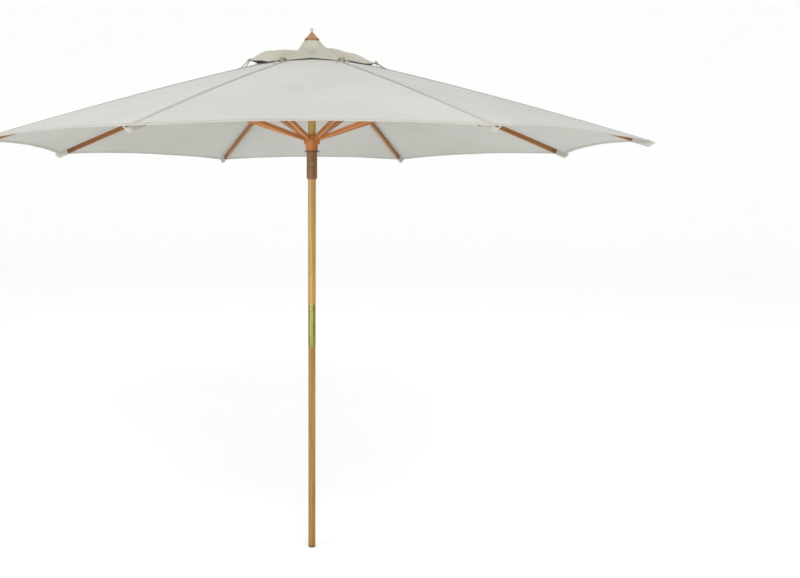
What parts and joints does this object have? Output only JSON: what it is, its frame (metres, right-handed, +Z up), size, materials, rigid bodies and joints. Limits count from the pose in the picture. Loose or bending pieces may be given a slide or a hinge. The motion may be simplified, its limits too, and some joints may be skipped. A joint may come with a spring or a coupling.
{
  "type": "patio umbrella",
  "caption": "Wooden market umbrella with an octagonal off-white canvas canopy, a star-shaped vent cap and a two-part pole joined by a brass ferrule; it folds and comes apart.",
  "frame": {"origin": "centre of the pole's foot, where it meets the ground; the pole stands on Z = 0", "axes": "+Z up the pole; +X and +Y across flats of the octagonal canopy, rib 1 at 22.5 degrees from +X; the lock screw faces -Y, towards the viewer"},
  "size_m": [2.7716, 2.7716, 2.5137],
  "materials": {
    "pole_wood": "oiled hardwood, satin",
    "hub_wood": "oiled orange-brown hardwood",
    "rib_wood": "oiled hardwood, satin",
    "sleeve_wood": "darker stained hardwood",
    "brass": "polished brass",
    "steel": "galvanised wire and screws",
    "dark_metal": "dark flange",
    "foot": "dark moulded cap",
    "canvas": "natural off-white canvas"
  },
  "bodies": {
    "lower_pole": {"lower_pole": "pole_wood", "foot_cap": "foot", "pole_ferrule": "brass", "ferrule_nails": "brass"},
    "upper_pole": {"upper_pole": "pole_wood", "crown_hub": "hub_wood", "crown_screws": "steel", "crown_wire": "steel", "cap_washer": "brass", "finial": "hub_wood", "finial_eye": "brass", "vent_cap": "canvas"},
    "rib_1": {"rib_1": "rib_wood", "strut_bracket_1": "brass", "rib_pocket_1": "canvas", "canopy_gore_1": "canvas"},
    "strut_1": {"strut_1": "hub_wood"},
    "rib_2": {"rib_2": "rib_wood", "strut_bracket_2": "brass", "rib_pocket_2": "canvas", "canopy_gore_2": "canvas"},
    "strut_2": {"strut_2": "hub_wood"},
    "rib_3": {"rib_3": "rib_wood", "strut_bracket_3": "brass", "rib_pocket_3": "canvas", "canopy_gore_3": "canvas"},
    "strut_3": {"strut_3": "hub_wood"},
    "rib_4": {"rib_4": "rib_wood", "strut_bracket_4": "brass", "rib_pocket_4": "canvas", "canopy_gore_4": "canvas"},
    "strut_4": {"strut_4": "hub_wood"},
    "rib_5": {"rib_5": "rib_wood", "strut_bracket_5": "brass", "rib_pocket_5": "canvas", "canopy_gore_5": "canvas"},
    "strut_5": {"strut_5": "hub_wood"},
    "rib_6": {"rib_6": "rib_wood", "strut_bracket_6": "brass", "rib_pocket_6": "canvas", "canopy_gore_6": "canvas"},
    "strut_6": {"strut_6": "hub_wood"},
    "rib_7": {"rib_7": "rib_wood", "strut_bracket_7": "brass", "rib_pocket_7": "canvas", "canopy_gore_7": "canvas"},
    "strut_7": {"strut_7": "hub_wood"},
    "rib_8": {"rib_8": "rib_wood", "strut_bracket_8": "brass", "rib_pocket_8": "canvas", "canopy_gore_8": "canvas"},
    "strut_8": {"strut_8": "hub_wood"},
    "runner": {"runner_hub": "hub_wood", "runner_wire": "steel", "runner_washer": "dark_metal", "runner_sleeve": "sleeve_wood"},
    "lock_screw": {"lock_screw": "brass"}
  },
  "joints": [
    {"name": "pole_lift", "type": "slide", "parent": "lower_pole", "child": "upper_pole", "axis": [0, 0, 1], "range_m": [0, 0.1]},
    {"name": "canopy_fold", "type": "hinge", "parent": "upper_pole", "child": "rib_1", "pos_m": [0.03141, 0.01301, 2.382], "axis": [-0.3827, 0.9239, 0], "range_deg": [0, 71.8], "deforming": ["canopy_gore_1", "vent_cap"]},
    {"name": "strut_fold_1", "type": "hinge", "parent": "rib_1", "child": "strut_1", "pos_m": [0.57575, 0.23849, 2.18899], "axis": [-0.3827, 0.9239, 0], "range_deg": [-143.6, 0]},
    {"name": "runner_slide", "type": "hinge", "parent": "strut_1", "child": "runner", "pos_m": [0.03141, 0.01301, 1.99598], "axis": [-0.3827, 0.9239, 0], "range_deg": [0, 71.8]},
    {"name": "rib_fold_2", "type": "hinge", "parent": "upper_pole", "child": "rib_2", "pos_m": [0.01301, 0.03141, 2.382], "axis": [-0.9239, 0.3827, 0], "range_deg": [0, 71.8], "deforming": ["canopy_gore_2"]},
    {"name": "strut_fold_2", "type": "hinge", "parent": "rib_2", "child": "strut_2", "pos_m": [0.23849, 0.57575, 2.18899], "axis": [-0.9239, 0.3827, 0], "range_deg": [-143.6, 0]},
    {"name": "rib_fold_3", "type": "hinge", "parent": "upper_pole", "child": "rib_3", "pos_m": [-0.01301, 0.03141, 2.382], "axis": [-0.9239, -0.3827, 0], "range_deg": [0, 71.8], "deforming": ["canopy_gore_3"]},
    {"name": "strut_fold_3", "type": "hinge", "parent": "rib_3", "child": "strut_3", "pos_m": [-0.23849, 0.57575, 2.18899], "axis": [-0.9239, -0.3827, 0], "range_deg": [-143.6, 0]},
    {"name": "rib_fold_4", "type": "hinge", "parent": "upper_pole", "child": "rib_4", "pos_m": [-0.03141, 0.01301, 2.382], "axis": [-0.3827, -0.9239, 0], "range_deg": [0, 71.8], "deforming": ["canopy_gore_4"]},
    {"name": "strut_fold_4", "type": "hinge", "parent": "rib_4", "child": "strut_4", "pos_m": [-0.57575, 0.23849, 2.18899], "axis": [-0.3827, -0.9239, 0], "range_deg": [-143.6, 0]},
    {"name": "rib_fold_5", "type": "hinge", "parent": "upper_pole", "child": "rib_5", "pos_m": [-0.03141, -0.01301, 2.382], "axis": [0.3827, -0.9239, 0], "range_deg": [0, 71.8], "deforming": ["canopy_gore_5"]},
    {"name": "strut_fold_5", "type": "hinge", "parent": "rib_5", "child": "strut_5", "pos_m": [-0.57575, -0.23849, 2.18899], "axis": [0.3827, -0.9239, 0], "range_deg": [-143.6, 0]},
    {"name": "rib_fold_6", "type": "hinge", "parent": "upper_pole", "child": "rib_6", "pos_m": [-0.01301, -0.03141, 2.382], "axis": [0.9239, -0.3827, 0], "range_deg": [0, 71.8], "deforming": ["canopy_gore_6"]},
    {"name": "strut_fold_6", "type": "hinge", "parent": "rib_6", "child": "strut_6", "pos_m": [-0.23849, -0.57575, 2.18899], "axis": [0.9239, -0.3827, 0], "range_deg": [-143.6, 0]},
    {"name": "rib_fold_7", "type": "hinge", "parent": "upper_pole", "child": "rib_7", "pos_m": [0.01301, -0.03141, 2.382], "axis": [0.9239, 0.3827, 0], "range_deg": [0, 71.8], "deforming": ["canopy_gore_7"]},
    {"name": "strut_fold_7", "type": "hinge", "parent": "rib_7", "child": "strut_7", "pos_m": [0.23849, -0.57575, 2.18899], "axis": [0.9239, 0.3827, 0], "range_deg": [-143.6, 0]},
    {"name": "rib_fold_8", "type": "hinge", "parent": "upper_pole", "child": "rib_8", "pos_m": [0.03141, -0.01301, 2.382], "axis": [0.3827, 0.9239, 0], "range_deg": [0, 71.8], "deforming": ["canopy_gore_8"]},
    {"name": "strut_fold_8", "type": "hinge", "parent": "rib_8", "child": "strut_8", "pos_m": [0.57575, -0.23849, 2.18899], "axis": [0.3827, 0.9239, 0], "range_deg": [-143.6, 0]},
    {"name": "lock_turn", "type": "hinge", "parent": "runner", "child": "lock_screw", "pos_m": [0, -0.03, 1.88388], "axis": [0, -1, 0], "range_deg": [0, 360]}
  ],
  "couplings": [
    {"joint": "strut_fold_1", "follows": "canopy_fold", "ratio": -2},
    {"joint": "runner_slide", "follows": "canopy_fold", "ratio": 1},
    {"joint": "rib_fold_2", "follows": "canopy_fold", "ratio": 1},
    {"joint": "strut_fold_2", "follows": "canopy_fold", "ratio": -2},
    {"joint": "rib_fold_3", "follows": "canopy_fold", "ratio": 1},
    {"joint": "strut_fold_3", "follows": "canopy_fold", "ratio": -2},
    {"joint": "rib_fold_4", "follows": "canopy_fold", "ratio": 1},
    {"joint": "strut_fold_4", "follows": "canopy_fold", "ratio": -2},
    {"joint": "rib_fold_5", "follows": "canopy_fold", "ratio": 1},
    {"joint": "strut_fold_5", "follows": "canopy_fold", "ratio": -2},
    {"joint": "rib_fold_6", "follows": "canopy_fold", "ratio": 1},
    {"joint": "strut_fold_6", "follows": "canopy_fold", "ratio": -2},
    {"joint": "rib_fold_7", "follows": "canopy_fold", "ratio": 1},
    {"joint": "strut_fold_7", "follows": "canopy_fold", "ratio": -2},
    {"joint": "rib_fold_8", "follows": "canopy_fold", "ratio": 1},
    {"joint": "strut_fold_8", "follows": "canopy_fold", "ratio": -2}
  ]
}
